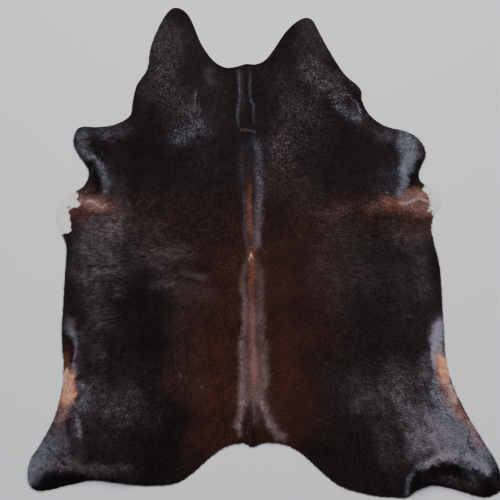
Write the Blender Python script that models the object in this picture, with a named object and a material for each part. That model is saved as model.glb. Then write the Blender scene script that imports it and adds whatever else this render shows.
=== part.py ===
"""Cowhide rug: one whole tanned hide, laid out hair side up.

Metres, +Z up. The spine lies along Y with the neck at +Y, the floor is z = 0, and the
origin is on the floor under the middle of the hide's bounding box.

The hide is one closed sheet. Its cut edge is a smooth curve through hand-placed
landmarks, and its folds are soft raised welts along crest lines. Between the folds the
underside lies exactly flat on the floor.
"""

import math

import bmesh
import bpy
import numpy as np
from mathutils import Vector
from mathutils.geometry import delaunay_2d_cdt

# Driving dimensions, in metres
SKIN = 0.0025            # tanned leather
COAT = 0.0035            # short hair, lying flat on it
THICKNESS = SKIN + COAT
EDGE_STEP = 0.022        # between points along the cut edge
FOLD_STEP = 0.028        # between points on the folds
FLAT_EVERY = 3           # flat ground keeps one fold point in so many, each way
RAISED = 0.0004          # a place this high belongs to a fold
CURVE_STEP = 0.004       # between samples of a smooth curve

# The cut edge, counterclockwise from the tail. One row for each stretch of the animal's
# outline, with its landmarks as x, y from the spine and from the middle of the length.
EDGE = (
    ("tail", ((0.000, -0.955), (0.035, -0.940))),
    ("right rump", ((0.110, -0.944), (0.190, -0.983), (0.290, -1.076), (0.355, -1.122))),
    ("right thigh", ((0.460, -1.152), (0.560, -1.164), (0.606, -1.164), (0.640, -1.142))),
    ("right hind shank", ((0.710, -1.122), (0.800, -1.141), (0.895, -1.169), (0.955, -1.159))),
    ("right hind tip", ((0.985, -1.120), (0.965, -1.034), (0.925, -0.945))),
    ("right flank", ((0.865, -0.820), (0.825, -0.705), (0.810, -0.610), (0.813, -0.500))),
    ("right belly", ((0.820, -0.330), (0.822, -0.200), (0.807, -0.080), (0.803, -0.015))),
    ("right elbow", ((0.822, 0.044), (0.856, 0.092), (0.835, 0.149), (0.778, 0.200))),
    ("right foreleg", ((0.769, 0.245), (0.808, 0.335), (0.790, 0.405), (0.730, 0.454))),
    ("right shoulder", ((0.635, 0.489), (0.566, 0.552), (0.537, 0.630), (0.532, 0.692))),
    ("right neck", ((0.463, 0.773), (0.391, 0.918), (0.345, 1.030), (0.325, 1.074))),
    ("right neck tip", ((0.293, 1.088), (0.245, 1.064), (0.190, 1.005))),
    ("nape", ((0.124, 0.900), (0.085, 0.853), (0.040, 0.836), (0.000, 0.840),
              (-0.055, 0.825), (-0.105, 0.826), (-0.160, 0.868))),
    ("left neck tip", ((-0.215, 0.960), (-0.264, 1.095), (-0.300, 1.150), (-0.345, 1.169))),
    ("left neck", ((-0.382, 1.137), (-0.435, 1.028), (-0.462, 0.930), (-0.473, 0.830))),
    ("left shoulder", ((-0.520, 0.744), (-0.536, 0.660), (-0.550, 0.580), (-0.620, 0.536))),
    ("left foreleg", ((-0.705, 0.525), (-0.768, 0.529), (-0.797, 0.510), (-0.806, 0.445),
                      (-0.780, 0.384), (-0.735, 0.315), (-0.730, 0.268))),
    ("left elbow", ((-0.758, 0.218), (-0.815, 0.188), (-0.856, 0.125), (-0.862, 0.070))),
    ("left belly", ((-0.838, -0.002), (-0.813, -0.065), (-0.812, -0.200), (-0.812, -0.420))),
    ("left flank", ((-0.805, -0.520), (-0.795, -0.600), (-0.798, -0.715), (-0.825, -0.825))),
    ("left hind shank", ((-0.870, -0.917), (-0.910, -0.995), (-0.913, -1.065))),
    ("left hind tip", ((-0.887, -1.104), (-0.838, -1.108), (-0.752, -1.091))),
    ("left thigh", ((-0.655, -1.074), (-0.550, -1.086), (-0.440, -1.098), (-0.325, -1.093))),
    ("left rump", ((-0.260, -1.060), (-0.170, -0.986), (-0.110, -0.950), (-0.045, -0.938))),
)

# The folds. Each rises from the floor to its height along a crest line, over its reach
# to the left and right of that line, and sinks away over its run-out at both ends.
# name, height, reach left, reach right, run-out, crest line as x, y
FOLDS = (
    ("spine", 0.011, 0.060, 0.060, 0.300,
     ((0.008, 0.220), (0.012, 0.000), (0.008, -0.300), (0.000, -0.560), (0.000, -0.800))),
    ("left of the tail", 0.012, 0.050, 0.040, 0.080,
     ((-0.048, -0.640), (-0.048, -0.780), (-0.070, -0.960))),
    ("right of the tail", 0.012, 0.040, 0.050, 0.080,
     ((0.050, -0.640), (0.050, -0.780), (0.085, -0.960))),
    ("right hind ridge", 0.034, 0.105, 0.150, 0.060,
     ((0.585, -1.150), (0.622, -1.078), (0.690, -1.036), (0.770, -1.024), (0.850, -1.036),
      (0.925, -1.068), (0.985, -1.110))),
    ("left hind ridge", 0.024, 0.130, 0.062, 0.070,
     ((-0.925, -1.072), (-0.860, -1.046), (-0.740, -1.030), (-0.600, -1.042), (-0.460, -1.070))),
    ("left flank", 0.016, 0.055, 0.050, 0.120,
     ((-0.815, -0.390), (-0.760, -0.445), (-0.738, -0.540), (-0.742, -0.660), (-0.780, -0.870))),
    ("right flank", 0.015, 0.045, 0.060, 0.090,
     ((0.830, -0.425), (0.782, -0.486), (0.757, -0.575), (0.756, -0.690), (0.775, -0.790))),
    ("left foreleg", 0.017, 0.045, 0.055, 0.080,
     ((-0.775, 0.520), (-0.731, 0.431), (-0.695, 0.354), (-0.664, 0.270), (-0.650, 0.205))),
    ("right foreleg", 0.017, 0.060, 0.050, 0.070,
     ((0.715, 0.470), (0.728, 0.400), (0.730, 0.330), (0.705, 0.240), (0.675, 0.165))),
    ("left elbow", 0.013, 0.045, 0.035, 0.120,
     ((-0.870, 0.098), (-0.745, 0.128), (-0.640, 0.146), (-0.560, 0.150))),
    ("right elbow", 0.013, 0.035, 0.045, 0.120,
     ((0.865, 0.092), (0.775, 0.138), (0.680, 0.152), (0.590, 0.148))),
    ("left side", 0.008, 0.080, 0.080, 0.180,
     ((-0.748, 0.060), (-0.700, -0.085), (-0.668, -0.270), (-0.658, -0.430))),
    ("left neck", 0.015, 0.060, 0.080, 0.090,
     ((-0.345, 1.175), (-0.372, 1.000), (-0.392, 0.850), (-0.385, 0.700))),
    ("right neck", 0.012, 0.070, 0.060, 0.090,
     ((0.300, 1.095), (0.312, 0.950), (0.352, 0.800), (0.400, 0.700))),
    ("left hind crease", 0.010, 0.030, 0.035, 0.050,
     ((-0.855, -0.870), (-0.825, -0.905), (-0.795, -0.975), (-0.745, -1.025))),
)


def clear_scene():
    """Remove the objects that a new Blender file comes with."""
    for obj in list(bpy.data.objects):
        bpy.data.objects.remove(obj, do_unlink=True)


def smooth_curve(points, closed, step):
    """Catmull-Rom curve through points, sampled at even steps of its length."""
    pts = np.array(points, dtype=float)
    if closed:
        pts = np.vstack((pts[-1], pts, pts[0], pts[1]))
    else:
        pts = np.vstack((2 * pts[0] - pts[1], pts, 2 * pts[-1] - pts[-2]))
    t = np.linspace(0.0, 1.0, 24, endpoint=False)[:, None]
    pieces = []
    for a, b, c, d in zip(pts, pts[1:], pts[2:], pts[3:]):
        pieces.append(0.5 * (2 * b + (c - a) * t + (2 * a - 5 * b + 4 * c - d) * t**2
                             + (3 * b - a - 3 * c + d) * t**3))
    dense = np.vstack(pieces + [pts[-2:-1]])
    along = np.concatenate(([0.0], np.cumsum(np.hypot(*np.diff(dense, axis=0).T))))
    count = max(2, round(along[-1] / step))
    at = np.linspace(0.0, along[-1], count, endpoint=not closed)
    return np.column_stack([np.interp(at, along, dense[:, k]) for k in (0, 1)])


def smooth_step(t):
    t = np.clip(t, 0.0, 1.0)
    return t * t * (3.0 - 2.0 * t)


def fold_height(fold, xy):
    """Height that one fold adds at each point of xy."""
    _name, height, reach_left, reach_right, run_out, crest = fold
    line = smooth_curve(crest, False, CURVE_STEP)
    heading = np.gradient(line, axis=0)
    heading /= np.hypot(*heading.T)[:, None]
    lifted = np.zeros(len(xy))
    low = line.min(axis=0) - max(reach_left, reach_right)
    high = line.max(axis=0) + max(reach_left, reach_right)
    near = np.flatnonzero(np.all((xy > low) & (xy < high), axis=1))
    if not len(near):
        return lifted
    offset = xy[near, None, :] - line[None, :, :]
    distance = np.hypot(offset[..., 0], offset[..., 1])
    nearest = distance.argmin(axis=1)
    rows = np.arange(len(near))
    away, to = offset[rows, nearest], heading[nearest]
    is_left = to[:, 0] * away[:, 1] - to[:, 1] * away[:, 0] > 0.0
    reach = np.where(is_left, reach_left, reach_right)
    across = np.cos(0.5 * math.pi * np.minimum(distance[rows, nearest] / reach, 1.0)) ** 2
    place = nearest * CURVE_STEP
    length = (len(line) - 1) * CURVE_STEP
    ends = smooth_step(place / run_out) * smooth_step((length - place) / run_out)
    lifted[near] = height * across * ends
    return lifted


def underside(xy):
    """Height of the hide's underside over the floor."""
    return sum(fold_height(fold, xy) for fold in FOLDS)


def inside(edge, xy):
    """True for each point of xy inside the closed edge."""
    odd = np.zeros(len(xy), dtype=bool)
    for (x0, y0), (x1, y1) in zip(edge, np.roll(edge, -1, axis=0)):
        if y0 == y1:
            continue
        spans = (xy[:, 1] >= min(y0, y1)) & (xy[:, 1] < max(y0, y1))
        crossing = x0 + (xy[:, 1] - y0) * (x1 - x0) / (y1 - y0)
        odd ^= spans & (xy[:, 0] < crossing)
    return odd


def inner_points(edge):
    """Points of a triangular lattice inside the edge, dense on the folds only."""
    row_gap = FOLD_STEP * math.sqrt(0.75)
    low, high = edge.min(axis=0), edge.max(axis=0)
    rows = np.arange(math.floor(low[1] / row_gap), math.ceil(high[1] / row_gap) + 1)
    cols = np.arange(math.floor(low[0] / FOLD_STEP) - 1, math.ceil(high[0] / FOLD_STEP) + 2)
    col, row = (grid.ravel() for grid in np.meshgrid(cols, rows))
    xy = np.column_stack(((col + 0.5 * (row % 2)) * FOLD_STEP, row * row_gap))
    sparse = ((col + row // 2) % FLAT_EVERY == 0) & (row % FLAT_EVERY == 0)
    nearby = FOLD_STEP * np.array(((0, 0), (1, 0), (-1, 0), (0, 1), (0, -1)))
    raised = np.any([underside(xy + move) > RAISED for move in nearby], axis=0)
    xy = xy[(sparse | raised) & inside(edge, xy)]
    gap = np.min(np.hypot(*(xy[:, None, :] - edge[None, :, :]).transpose(2, 0, 1)), axis=1)
    return xy[gap > 0.6 * EDGE_STEP]


def hide_mesh():
    """The whole hide: underside, haired top and the cut edge between them."""
    landmarks = [point for _stretch, points in EDGE for point in points]
    edge = smooth_curve(landmarks, True, EDGE_STEP)
    rim = list(range(len(edge)))
    points = [Vector(point) for point in np.vstack((edge, inner_points(edge)))]
    points, _edges, faces, _ov, _oe, _of = delaunay_2d_cdt(points, [], [rim], 1, 1e-7)
    flat = np.array(points)
    low = underside(flat)
    flat -= 0.5 * (edge.min(axis=0) + edge.max(axis=0))

    bm = bmesh.new()
    under = [bm.verts.new((x, y, z)) for (x, y), z in zip(flat, low)]
    over = [bm.verts.new((x, y, z + THICKNESS)) for (x, y), z in zip(flat, low)]
    for face in faces:
        bm.faces.new([over[i] for i in face])
        bm.faces.new([under[i] for i in reversed(face)])
    for a, b in zip(rim, rim[1:] + rim[:1]):
        bm.faces.new((under[a], under[b], over[b], over[a]))
    bmesh.ops.triangulate(bm, faces=bm.faces[:])
    bmesh.ops.recalc_face_normals(bm, faces=bm.faces[:])
    mesh = bpy.data.meshes.new("hide")
    bm.to_mesh(mesh)
    bm.free()
    mesh.shade_smooth()
    mesh.set_sharp_from_angle(angle=math.radians(50.0))
    return mesh


def coat_material():
    """Dark brown, almost black cowhair, with a dull gloss."""
    material = bpy.data.materials.new("dark_brown_coat")
    material.use_nodes = True
    shader = material.node_tree.nodes["Principled BSDF"]
    shader.inputs["Base Color"].default_value = (0.022, 0.012, 0.010, 1.0)
    shader.inputs["Roughness"].default_value = 0.55
    shader.inputs["Metallic"].default_value = 0.0
    return material


def main():
    clear_scene()
    mesh = hide_mesh()
    mesh.materials.append(coat_material())
    hide = bpy.data.objects.new("hide", mesh)
    bpy.context.scene.collection.objects.link(hide)


main()
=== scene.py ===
# %% [markdown]
# # A cowhide rug
#
# A cowhide rug is one whole skin, tanned with its hair on. Nothing is sewn to it. What
# makes it look real is the animal: the outline of neck, legs and flanks, the way the
# short hair lies, and a coat that runs from black over brown to white.
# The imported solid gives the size, the outline and the folds. This lesson dresses it.

# %% Load the frame
import math

import bmesh
import bpy
import numpy as np
from mathutils import Matrix, Vector
from mathutils.bvhtree import BVHTree
from mathutils.kdtree import KDTree
from mathutils.geometry import delaunay_2d_cdt


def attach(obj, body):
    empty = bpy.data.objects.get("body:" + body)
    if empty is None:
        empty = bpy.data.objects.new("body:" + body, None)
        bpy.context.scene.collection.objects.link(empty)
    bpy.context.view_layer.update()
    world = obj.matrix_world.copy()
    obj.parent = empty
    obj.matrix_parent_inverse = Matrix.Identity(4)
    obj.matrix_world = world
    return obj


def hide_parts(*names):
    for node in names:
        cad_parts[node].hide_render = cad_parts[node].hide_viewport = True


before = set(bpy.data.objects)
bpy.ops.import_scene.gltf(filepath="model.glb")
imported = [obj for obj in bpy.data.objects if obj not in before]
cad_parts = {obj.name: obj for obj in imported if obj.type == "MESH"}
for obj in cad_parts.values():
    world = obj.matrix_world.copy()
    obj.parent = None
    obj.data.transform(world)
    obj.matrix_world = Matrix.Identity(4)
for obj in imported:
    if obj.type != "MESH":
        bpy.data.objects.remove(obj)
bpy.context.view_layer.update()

# %% [markdown]
# ## Sizes
#
# All lengths are metres, but the tables of strokes give places and widths in whole
# millimetres. A place is counted from the spine and from the middle of the hide's
# length, with the neck at +y, so a table can be read beside a drawing of the animal.
# `SPINE_X` is where the spine lies in the frame.

# %% Sizes
SPINE_X = -0.0349
MM = 1000.0                 # millimetres in a metre
SKIN = 0.0025               # tanned leather without hair
COAT = 0.0035               # the coat's depth as it lies
RIM_STEP = 0.005            # between points along the cut edge
COAT_STEP = 0.009           # between points of the haired side
FIELD_STEP = 0.005          # between points that the hair is planted and coloured by
SUEDE_STEP = 0.022          # between points of the underside
BEVEL = 0.009               # the coat thins out over this width at the cut edge
LOCKS_PER_M2 = 142000
SEED = 11
TINY = 1e-6                 # keeps a division away from zero
print("leather and coat together:", (SKIN + COAT) * MM, "mm")

# %% [markdown]
# ## The solid's outline and folds
#
# The solid is a sheet of flat triangles with a corner every 22 mm along its edge. Its
# underside is found by its downward faces. The open border of those faces, walked from
# corner to corner, is the cut edge. A copy is merged first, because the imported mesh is
# loose triangles.

# %% Read the underside
SAME_POINT = 1e-5           # corners closer than this are one corner
DOWNWARDS = -0.5            # a face looks down if its normal's height is no more than this


def underside_of(node):
    """The node's downward faces as (points, faces), with doubles merged."""
    bm = bmesh.new()
    bm.from_mesh(node.data)
    bmesh.ops.remove_doubles(bm, verts=bm.verts[:], dist=SAME_POINT)
    bm.normal_update()
    upper = [f for f in bm.faces if f.normal.z > DOWNWARDS]
    bmesh.ops.delete(bm, geom=upper, context="FACES")
    bm.verts.index_update()
    points = [v.co.copy() for v in bm.verts]
    faces = [[v.index for v in f.verts] for f in bm.faces]
    follows = {}
    for edge in bm.edges:
        if len(edge.link_loops) == 1:
            loop = edge.link_loops[0]
            follows[loop.link_loop_next.vert.index] = loop.vert.index
    bm.free()
    walk = [next(iter(follows))]
    while follows[walk[-1]] != walk[0]:
        walk.append(follows[walk[-1]])
    return points, faces, np.array([points[i] for i in walk])


points, faces, cad_rim = underside_of(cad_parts["hide"])
floor_side = BVHTree.FromPolygons(points, faces)
print("underside:", len(faces), "faces, cut edge:", len(cad_rim), "corners")

# %% [markdown]
# ## A smooth cut edge
#
# A knife cuts a hide in one flowing line, so the corners become the knots of a closed
# Catmull-Rom curve. Its knots are spaced by the distance between corners, which keeps
# it from swinging out where the corners lie unevenly.

# %% Smooth the edge
CURVE_PARTS = 8             # straight parts between two corners, before the even steps


def lengths(points):
    """How far along a line each of its points is."""
    return np.concatenate(([0.0], np.cumsum(np.linalg.norm(np.diff(points, axis=0), axis=1))))


def signed_area(loop):
    """Area inside a closed loop of points, below zero if the loop runs clockwise."""
    after = np.roll(loop, -1, axis=0)
    return 0.5 * float(np.sum(loop[:, 0] * after[:, 1] - after[:, 0] * loop[:, 1]))


def smooth_loop(knots, step):
    """Closed curve through knots, sampled at even steps of its length."""
    before, after = np.roll(knots, 1, axis=0), np.roll(knots, -1, axis=0)
    gap_in = np.linalg.norm(knots - before, axis=1)[:, None]
    gap_out = np.linalg.norm(after - knots, axis=1)[:, None]
    slope = ((knots - before) / gap_in * gap_out + (after - knots) / gap_out * gap_in)
    slope /= gap_in + gap_out
    next_slope = np.roll(slope, -1, axis=0)
    pieces = []
    for t in np.linspace(0.0, 1.0, CURVE_PARTS, endpoint=False):
        pieces.append((2 * t**3 - 3 * t**2 + 1) * knots + (t**3 - 2 * t**2 + t) * gap_out * slope
                      + (3 * t**2 - 2 * t**3) * after + (t**3 - t**2) * gap_out * next_slope)
    dense = np.stack(pieces, axis=1).reshape(-1, knots.shape[1])
    dense = np.vstack((dense, dense[:1]))
    along = lengths(dense)
    at = np.linspace(0.0, along[-1], round(along[-1] / step), endpoint=False)
    return np.column_stack([np.interp(at, along, column) for column in dense.T])


rim = smooth_loop(cad_rim, RIM_STEP)[:, :2]
if signed_area(rim) < 0.0:
    rim = rim[::-1].copy()
print("cut edge:", len(rim), "points,", round(len(rim) * RIM_STEP, 2), "m long")

# %% [markdown]
# ## Points over the hide
#
# Both sides of the sheet are triangle meshes on the same outline: fine on the haired
# side, coarser on the suede side. The points inside stand on a triangular lattice, and
# a Delaunay triangulation joins them to the edge.

# %% Fill the outline
CLEAR = 0.6 * RIM_STEP      # fine points stay this far from the cut edge
SUEDE_CLEAR = 0.010         # and the underside's points this far
INSIDE_ONLY = 1             # of a triangulation, keep what lies inside the ring
TOUCHING = 1e-8             # points closer than this are one point


def inside(loop, xy):
    """True for each point of xy inside the closed loop."""
    odd = np.zeros(len(xy), dtype=bool)
    for (x0, y0), (x1, y1) in zip(loop, np.roll(loop, -1, axis=0)):
        if y0 == y1:
            continue
        spans = np.flatnonzero((xy[:, 1] >= min(y0, y1)) & (xy[:, 1] < max(y0, y1)))
        crossing = x0 + (xy[spans, 1] - y0) * (x1 - x0) / (y1 - y0)
        odd[spans] ^= xy[spans, 0] < crossing
    return odd


rim_tree = KDTree(len(rim))
for number, place in enumerate(rim):
    rim_tree.insert((place[0], place[1], 0.0), number)
rim_tree.balance()


def distance_to_rim(xy):
    """How far each point of xy is from the cut edge."""
    return np.array([rim_tree.find((px, py, 0.0))[2] for px, py in xy])


def fill(step, clear):
    """Triangles over the outline: (points, faces, distance to the edge)."""
    row_gap = step * math.sqrt(0.75)
    low, high = rim.min(axis=0), rim.max(axis=0)
    xs, ys = np.arange(low[0], high[0], step), np.arange(low[1], high[1], row_gap)
    x, y = np.meshgrid(xs, ys)
    x = x + 0.5 * step * (np.arange(len(ys)) % 2)[:, None]
    xy = np.column_stack((x.ravel(), y.ravel()))
    xy = xy[inside(rim, xy)]
    xy = xy[distance_to_rim(xy) > clear]
    ring = list(range(len(rim)))
    made = delaunay_2d_cdt([Vector(p) for p in np.vstack((rim, xy))], [], [ring], INSIDE_ONLY, TOUCHING)
    xy = np.array(made[0])
    return xy, np.array(made[2]), distance_to_rim(xy)


coat_xy, coat_faces, coat_in = fill(COAT_STEP, CLEAR)
suede_xy, suede_faces, _ = fill(SUEDE_STEP, SUEDE_CLEAR)
print("haired side:", len(coat_faces), "triangles, suede side:", len(suede_faces))

# %% [markdown]
# ## The folds
#
# Each point takes the height of the solid's underside. The solid's triangles are 28 mm
# wide on the folds and would show as facets, so the heights are averaged with their
# neighbours a few times, which rounds the facets and keeps the folds.

# %% Heights
FAR_BELOW = -1.0
UP = (0.0, 0.0, 1.0)
OWN_SHARE = 0.4             # what a point keeps of its own height in each round


def height_of(surface, xy):
    """Height of a surface at each point of xy."""
    heights = np.zeros(len(xy))
    for i, (px, py) in enumerate(xy):
        hit = surface.ray_cast((px, py, FAR_BELOW), UP)[0]
        if hit is None:
            hit = surface.find_nearest((px, py, 0.0))[0]
        heights[i] = hit.z
    return heights


def averaged(values, triangles, rounds):
    """values, each mixed with the mean of its neighbours so many times."""
    a = triangles[:, [0, 1, 2]].ravel()
    b = triangles[:, [1, 2, 0]].ravel()
    ones = np.bincount(a, minlength=len(values)) + np.bincount(b, minlength=len(values))
    for _ in range(rounds):
        total = np.bincount(a, values[b], len(values)) + np.bincount(b, values[a], len(values))
        values = OWN_SHARE * values + (1.0 - OWN_SHARE) * total / ones
    return values


coat_low = averaged(height_of(floor_side, coat_xy), coat_faces, rounds=9)
suede_low = averaged(height_of(floor_side, suede_xy), suede_faces, rounds=1)
print("highest fold:", round(coat_low.max() * MM, 1), "mm")

# %% [markdown]
# ## Strokes
#
# A coat is drawn here as a painter would: with soft strokes, each along a line on the
# animal, with its own width and its own run-out at the ends. A stroke gives 1 on its
# line and 0 past its width. No border on an animal is clean, so the points wander a
# little before the distance is measured, and they wander more for broad strokes.

# %% Strokes
LINE_STEP = 0.004           # between points of a stroke's line
LINE_PARTS = 16             # parts between two knots of it, before the even steps
# a place wanders in bumps of a size, by a share of the stroke's width, up to a most
DRIFT_SIZE, DRIFT_SHARE, DRIFT_MOST = 0.090, 0.20, 0.020
JITTER_SIZE, JITTER_SHARE, JITTER_MOST = 0.017, 0.12, 0.006
BATCH = 4000                # places whose distance is measured at once
MOST_PAIRS = 4000000        # past this, every fourth point of a line is enough
WAVES = 16                  # sine waves in one soft noise


def soft_noise(at, size, seed):
    """Smooth random numbers from -1 to 1, with bumps of about this size."""
    rng = np.random.default_rng(seed)
    total = np.zeros(len(at))
    for _ in range(WAVES):
        turn, phase = rng.uniform(0.0, 2.0 * math.pi, 2)
        wave = rng.uniform(0.5, 1.8) * math.pi / size
        total += np.sin(wave * (at[:, 0] * math.cos(turn) + at[:, 1] * math.sin(turn)) + phase)
    return np.clip(total / math.sqrt(WAVES), -1.0, 1.0)


def layered(at, layers):
    """A sum of soft noises, each with its strength, size and seed."""
    return sum(strength * soft_noise(at, size, seed) for strength, size, seed in layers)


def smooth_line(places):
    """Open Catmull-Rom curve through places given in millimetres, at even steps."""
    knots = np.array(places) / MM
    ends = np.vstack((2 * knots[0] - knots[1], knots, 2 * knots[-1] - knots[-2]))
    t = np.linspace(0.0, 1.0, LINE_PARTS, endpoint=False)[:, None]
    dense = [0.5 * (2 * b + (c - a) * t + (2 * a - 5 * b + 4 * c - d) * t**2
                    + (3 * b - a - 3 * c + d) * t**3)
             for a, b, c, d in zip(ends, ends[1:], ends[2:], ends[3:])]
    dense = np.vstack(dense + [knots[-1:]])
    along = lengths(dense)
    at = np.linspace(0.0, along[-1], max(2, round(along[-1] / LINE_STEP)))
    return np.column_stack([np.interp(at, along, column) for column in dense.T])


def smooth_step(t):
    """0 up to t = 0, 1 from t = 1, and an even S between them."""
    t = np.clip(t, 0.0, 1.0)
    return t * t * (3.0 - 2.0 * t)


def canvas(xy):
    """Places to paint on, counted from the spine, and how each of them wanders."""
    at = xy - np.array((SPINE_X, 0.0))
    drift = np.column_stack([soft_noise(at, DRIFT_SIZE, seed) for seed in (21, 22)])
    jitter = np.column_stack([soft_noise(at, JITTER_SIZE, seed) for seed in (23, 24)])
    return at, drift, jitter


def stroke(on, line, width, run_out=0):
    """How strongly a stroke along line covers each place of a canvas, from 0 to 1."""
    at, drift, jitter = on
    line, width, run_out = smooth_line(line), width / MM, run_out / MM
    at = (at + min(DRIFT_SHARE * width, DRIFT_MOST) * drift
          + min(JITTER_SHARE * width, JITTER_MOST) * jitter)
    cover = np.zeros(len(at))
    low, high = line.min(axis=0) - width, line.max(axis=0) + width
    near = np.flatnonzero(np.all((at > low) & (at < high), axis=1))
    if len(near) * len(line) > MOST_PAIRS:
        line = line[::4]
    length = lengths(line)
    for start in range(0, len(near), BATCH):
        some = near[start:start + BATCH]
        apart = np.linalg.norm(at[some, None, :] - line[None, :, :], axis=2)
        nearest = apart.argmin(axis=1)
        across = 1.0 - smooth_step(apart[np.arange(len(some)), nearest] / width)
        if run_out > 0.0:
            place = length[nearest]
            across *= smooth_step(place / run_out) * smooth_step((length[-1] - place) / run_out)
        cover[some] = across
    return cover


sheet_canvas = canvas(coat_xy)
print("strokes are laid on", len(coat_xy), "points of the sheet")

# %% [markdown]
# ## How the hair lies
#
# Hair on a cow lies backwards, and turns outwards down the flanks and legs. On the
# back, between the crown and the withers, a narrow band lies the other way, towards the
# neck. The lines where the two ways meet catch the light: they are the marks along the
# spine. The flow is stored as one vector for each point.

# %% Hair flow
CROWN_Y = -0.133            # the whorl on the back, where the hair parts
CROWN_FADE = 0.06           # over this length the forward band begins
WITHERS_Y = 0.485           # where that band ends
WITHERS_FADE = 0.10         # over this length it does
BAND_X = 0.008              # the middle of the band
BAND = 0.024                # over this width beside it the band fades
BAND_CORE = 0.2 * BAND      # and this close to it the band is whole
FORWARDS = (0.0, 0.9, 0.0)  # the band's way, a little weaker than the way back
BACK_TURN = 6.0             # degrees that the hair turns outwards beside the spine
SIDE_TURN = 40.0            # and how much more by the time it reaches the flanks
BACK = 0.02                 # from this far off the spine that turn grows
SIDE = 0.80                 # over this width
PARTING = 0.015             # how close to the spine the hair changes sides
FLOW_TURNS = (
    # where on the animal, width, heading in degrees from the tail outwards, line
    ("left foreleg", 190, 76.0, (-620, 360), (-800, 420)),
    ("right foreleg", 190, 76.0, (620, 360), (800, 360)),
    ("left elbow", 100, 82.0, (-660, 130), (-860, 120)),
    ("right elbow", 100, 82.0, (660, 120), (860, 100)),
    ("left hind leg", 260, 60.0, (-580, -880), (-880, -1040)),
    ("right hind leg", 260, 60.0, (580, -880), (940, -1060)),
    ("left neck", 160, 20.0, (-400, 660), (-340, 1150)),
    ("right neck", 160, 20.0, (400, 660), (300, 1080)),
    ("right shoulder", 200, 62.0, (240, 300), (420, 600)),
)
ROWS = (
    # where the coat lies in crosswise rows, strength, width, line
    ("girth", 0.9, 260, (-550, 20), (0, 20), (600, 0)),
    ("left side", 1.0, 300, (-600, 0), (-550, -500)),
    ("right side", 0.8, 300, (550, -50), (550, -500)),
    ("left loin", 1.0, 160, (-450, -100), (-220, -200)),
    ("left shoulder", 0.7, 130, (-320, 480), (-240, 420)),
    ("back", 0.6, 300, (-100, -200), (100, -800)),
)


def hair_flow(on):
    """The way the hair lies at each place, as unit vectors in the plan."""
    x, y = on[0].T
    outwards = BACK_TURN + SIDE_TURN * smooth_step((np.abs(x) - BACK) / SIDE)
    for _name, width, heading, *line in FLOW_TURNS:
        outwards = outwards + (heading - outwards) * stroke(on, line, width)
    turn = np.radians(outwards * np.tanh(x / PARTING))
    flow = np.column_stack((np.sin(turn), -np.cos(turn), np.zeros(len(turn))))
    band = ((1.0 - smooth_step((np.abs(x - BAND_X) - BAND_CORE) / BAND))
            * smooth_step((y - CROWN_Y) / CROWN_FADE) * smooth_step((WITHERS_Y - y) / WITHERS_FADE))
    flow = flow * (1.0 - band)[:, None] + np.array(FORWARDS) * band[:, None]
    return flow / np.maximum(np.linalg.norm(flow, axis=1), TINY)[:, None]


def strongest(on, rows):
    """The strongest of several strokes at each place."""
    return np.max([strength * stroke(on, line, width) for _name, strength, width, *line in rows], axis=0)


print("share of the coat in rows:", round(float(strongest(sheet_canvas, ROWS).mean()), 2))

# %% [markdown]
# ## Single licks
#
# A few licks of hair are seen one by one: dark ones that lie flat on the left foreleg,
# painted in the deepest shade colour of the hollows, and painted glints on the right
# shoulder and the left haunch. They are small round strokes.

# %% Licks
LICK_JITTER = 0.003         # how far a lick's border wanders
LICKS = (
    # what it is, painted sheen colour or "dark", strength, radius, places
    ("left foreleg", "dark", 1.0, 12, (-716, 492), (-703, 487), (-692, 478), (-678, 490), (-733, 461),
     (-699, 468), (-675, 472), (-669, 449), (-716, 434), (-726, 424), (-679, 441), (-702, 418), (-675, 417),
     (-653, 428), (-618, 468), (-595, 447), (-588, 461), (-555, 439), (-630, 500)),
    ("left foreleg", "dark", 1.0, 24, (-691, 392), (-680, 370), (-664, 362), (-668, 412), (-646, 400)),
    ("right shoulder", "flax", 0.45, 8, (588, 166), (619, 152), (437, 512), (360, 730)),
    ("left haunch", "dusk", 0.45, 9, (-300, -655), (-310, -640), (-210, -700)),
)


def licks(on, kind):
    """Each row of licks, dark or bright, as how strongly it covers each place."""
    at = on[0] + LICK_JITTER * on[2]
    for _name, tint, strength, radius, *places in LICKS:
        if (tint == "dark") == (kind == "dark"):
            spots = np.array(places) / MM
            apart = np.linalg.norm(at[:, None, :] - spots[None, :, :], axis=2).min(axis=1)
            yield tint, strength * (1.0 - smooth_step(apart / (radius / MM)))


print("licks:", sum(len(places) for _name, _tint, _strength, _radius, *places in LICKS))

# %% [markdown]
# ## Hollows and creases
#
# A hollow is dark for two reasons: little light gets into it, and no hair in it stands
# to the light. So it has a stroke of painted shade in the coat's colours, and one further
# down that takes the painted sheen away. The line is the same, and is written once.

# %% Hollows
HOLLOWS = {
    # what it is: line from the spine
    "left neck shade": ((-447, 615), (-407, 499)),
    "left foreleg hollow": ((-717, 330), (-700, 290), (-682, 250), (-668, 205)),
    "right foreleg hollow": ((768, 290), (757, 245), (736, 215), (733, 185)),
    "left hock shade": ((-766, -815), (-762, -900)),
    "left shank crease": ((-839, -935), (-795, -978), (-748, -1018)),
    "left hock crease": ((-837, -860), (-821, -896)),
    "upper left side crease": ((-727, -159), (-572, -164)),
    "lower left side crease": ((-723, -229), (-570, -233)),
    "left tail pocket": ((-25, -812), (-36, -850), (-36, -930)),
    "right tail pocket": ((22, -795), (36, -830), (56, -910)),
    "left hind pocket": ((-905, -1112), (-865, -1094), (-820, -1080), (-770, -1072), (-700, -1074)),
    "left hind hem": ((-720, -1066), (-650, -1074), (-560, -1080)),
}
print("hollows and creases:", len(HOLLOWS))
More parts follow.
